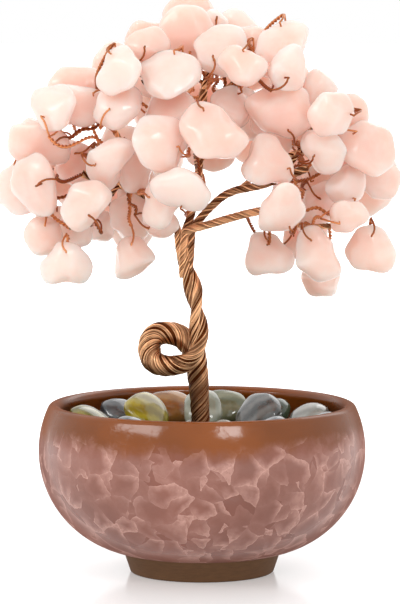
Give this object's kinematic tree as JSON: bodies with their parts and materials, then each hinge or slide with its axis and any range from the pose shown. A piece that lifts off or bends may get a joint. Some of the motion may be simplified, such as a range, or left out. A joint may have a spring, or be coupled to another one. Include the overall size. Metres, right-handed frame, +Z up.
{
  "type": "gemstone tree ornament",
  "caption": "Ornamental tree of twisted copper wire with rose quartz chips on its twigs, standing in a crackle-glazed bowl of tumbled pebbles.",
  "frame": {"origin": "centre of the bowl's foot, on the plane it rests on", "axes": "+Z up along the bowl's axis; -Y is the front, the side the picture shows; +X to the right seen from there"},
  "size_m": [0.0982, 0.08, 0.1414],
  "materials": {
    "glaze": "crackle glaze in mauve and brown",
    "plaster": "matte",
    "copper": "bare drawn copper wire",
    "rose_quartz": "tumbled, polished",
    "pebble_grey": "tumbled, polished",
    "pebble_green": "tumbled, polished",
    "pebble_moss": "tumbled, polished",
    "pebble_amber": "tumbled, polished",
    "pebble_brown": "tumbled, polished",
    "pebble_olive": "tumbled, polished",
    "pebble_cream": "tumbled, polished",
    "pebble_slate": "tumbled, polished",
    "pebble_blue": "tumbled, polished"
  },
  "bodies": {
    "pot": {"amber_back_pebble": "pebble_amber", "back_branch": "copper", "blue_black_pebble": "pebble_blue", "bowl": "glaze", "brown_front_pebble": "pebble_brown", "brown_left_pebble": "pebble_brown", "cream_front_pebble": "pebble_cream", "cream_pebble": "pebble_cream", "dark_green_pebble": "pebble_green", "dark_grey_pebble": "pebble_grey", "front_branch": "copper", "gravel": "pebble_grey", "green_left_pebble": "pebble_green", "grey_blue_pebble": "pebble_blue", "grey_front_pebble": "pebble_grey", "grey_right_pebble": "pebble_grey", "leader": "copper", "moss_back_pebble": "pebble_moss", "moss_right_pebble": "pebble_moss", "olive_front_pebble": "pebble_olive", "olive_pebble": "pebble_olive", "pale_green_pebble": "pebble_green", "plaster_bed": "plaster", "slate_back_pebble": "pebble_slate", "slate_right_pebble": "pebble_slate", "small_olive_pebble": "pebble_olive", "top_back_chips": "rose_quartz", "top_front_chips": "rose_quartz", "top_left_branch": "copper", "top_right_branch": "copper", "top_twigs": "copper", "trunk": "copper"},
    "left_spray": {"left_back_branch": "copper", "left_back_chips": "rose_quartz", "left_front_chips": "rose_quartz", "left_limb": "copper", "left_twigs": "copper", "left_upper_branch": "copper"},
    "right_spray": {"right_back_branch": "copper", "right_back_chips": "rose_quartz", "right_front_chips": "rose_quartz", "right_lower_limb": "copper", "right_side_branch": "copper", "right_twigs": "copper", "right_upper_limb": "copper"},
    "left_low_spray": {"left_low_branch": "copper", "left_low_chips": "rose_quartz", "left_low_twigs": "copper"},
    "right_low_spray": {"right_low_branch": "copper", "right_low_chips": "rose_quartz", "right_low_twigs": "copper"},
    "left_edge_drop": {"left_edge_drop": "rose_quartz"},
    "left_low_drop": {"left_low_drop": "rose_quartz"},
    "left_inner_drop": {"left_inner_drop": "rose_quartz"},
    "right_inner_drop": {"right_inner_drop": "rose_quartz"},
    "right_low_drop": {"right_low_drop": "rose_quartz"},
    "right_edge_drop": {"right_edge_drop": "rose_quartz"}
  },
  "joints": [
    {"name": "left_bend", "type": "hinge", "parent": "pot", "child": "left_spray", "pos_m": [-0.00579, 0, 0.082], "axis": [0, -1, 0], "range_deg": [0, 10]},
    {"name": "right_bend", "type": "hinge", "parent": "pot", "child": "right_spray", "pos_m": [-0.0034, 0, 0.082], "axis": [0, 1, 0], "range_deg": [0, 10]},
    {"name": "left_low_bend", "type": "hinge", "parent": "left_spray", "child": "left_low_spray", "pos_m": [-0.02106, -0.00508, 0.09419], "axis": [0, -1, 0], "range_deg": [0, 8]},
    {"name": "right_low_bend", "type": "hinge", "parent": "right_spray", "child": "right_low_spray", "pos_m": [0.01719, -0.00433, 0.0879], "axis": [0, 1, 0], "range_deg": [0, 8]},
    {"name": "left_edge_drop_swing", "type": "hinge", "parent": "left_low_spray", "child": "left_edge_drop", "pos_m": [-0.03773, -0.0084, 0.08528], "axis": [0, 1, 0], "range_deg": [-20, 20]},
    {"name": "left_low_drop_swing", "type": "hinge", "parent": "left_low_spray", "child": "left_low_drop", "pos_m": [-0.03231, -0.01736, 0.07962], "axis": [0, 1, 0], "range_deg": [-20, 20]},
    {"name": "left_inner_drop_swing", "type": "hinge", "parent": "left_spray", "child": "left_inner_drop", "pos_m": [-0.01693, -0.01008, 0.08086], "axis": [0, 1, 0], "range_deg": [-20, 20]},
    {"name": "right_inner_drop_swing", "type": "hinge", "parent": "right_spray", "child": "right_inner_drop", "pos_m": [0.01594, -0.0056, 0.08118], "axis": [0, 1, 0], "range_deg": [-20, 20]},
    {"name": "right_low_drop_swing", "type": "hinge", "parent": "right_low_spray", "child": "right_low_drop", "pos_m": [0.02933, 0.00336, 0.07434], "axis": [0, 1, 0], "range_deg": [-20, 20]},
    {"name": "right_edge_drop_swing", "type": "hinge", "parent": "right_low_spray", "child": "right_edge_drop", "pos_m": [0.04076, -0.0084, 0.08274], "axis": [0, 1, 0], "range_deg": [-20, 20]}
  ]
}
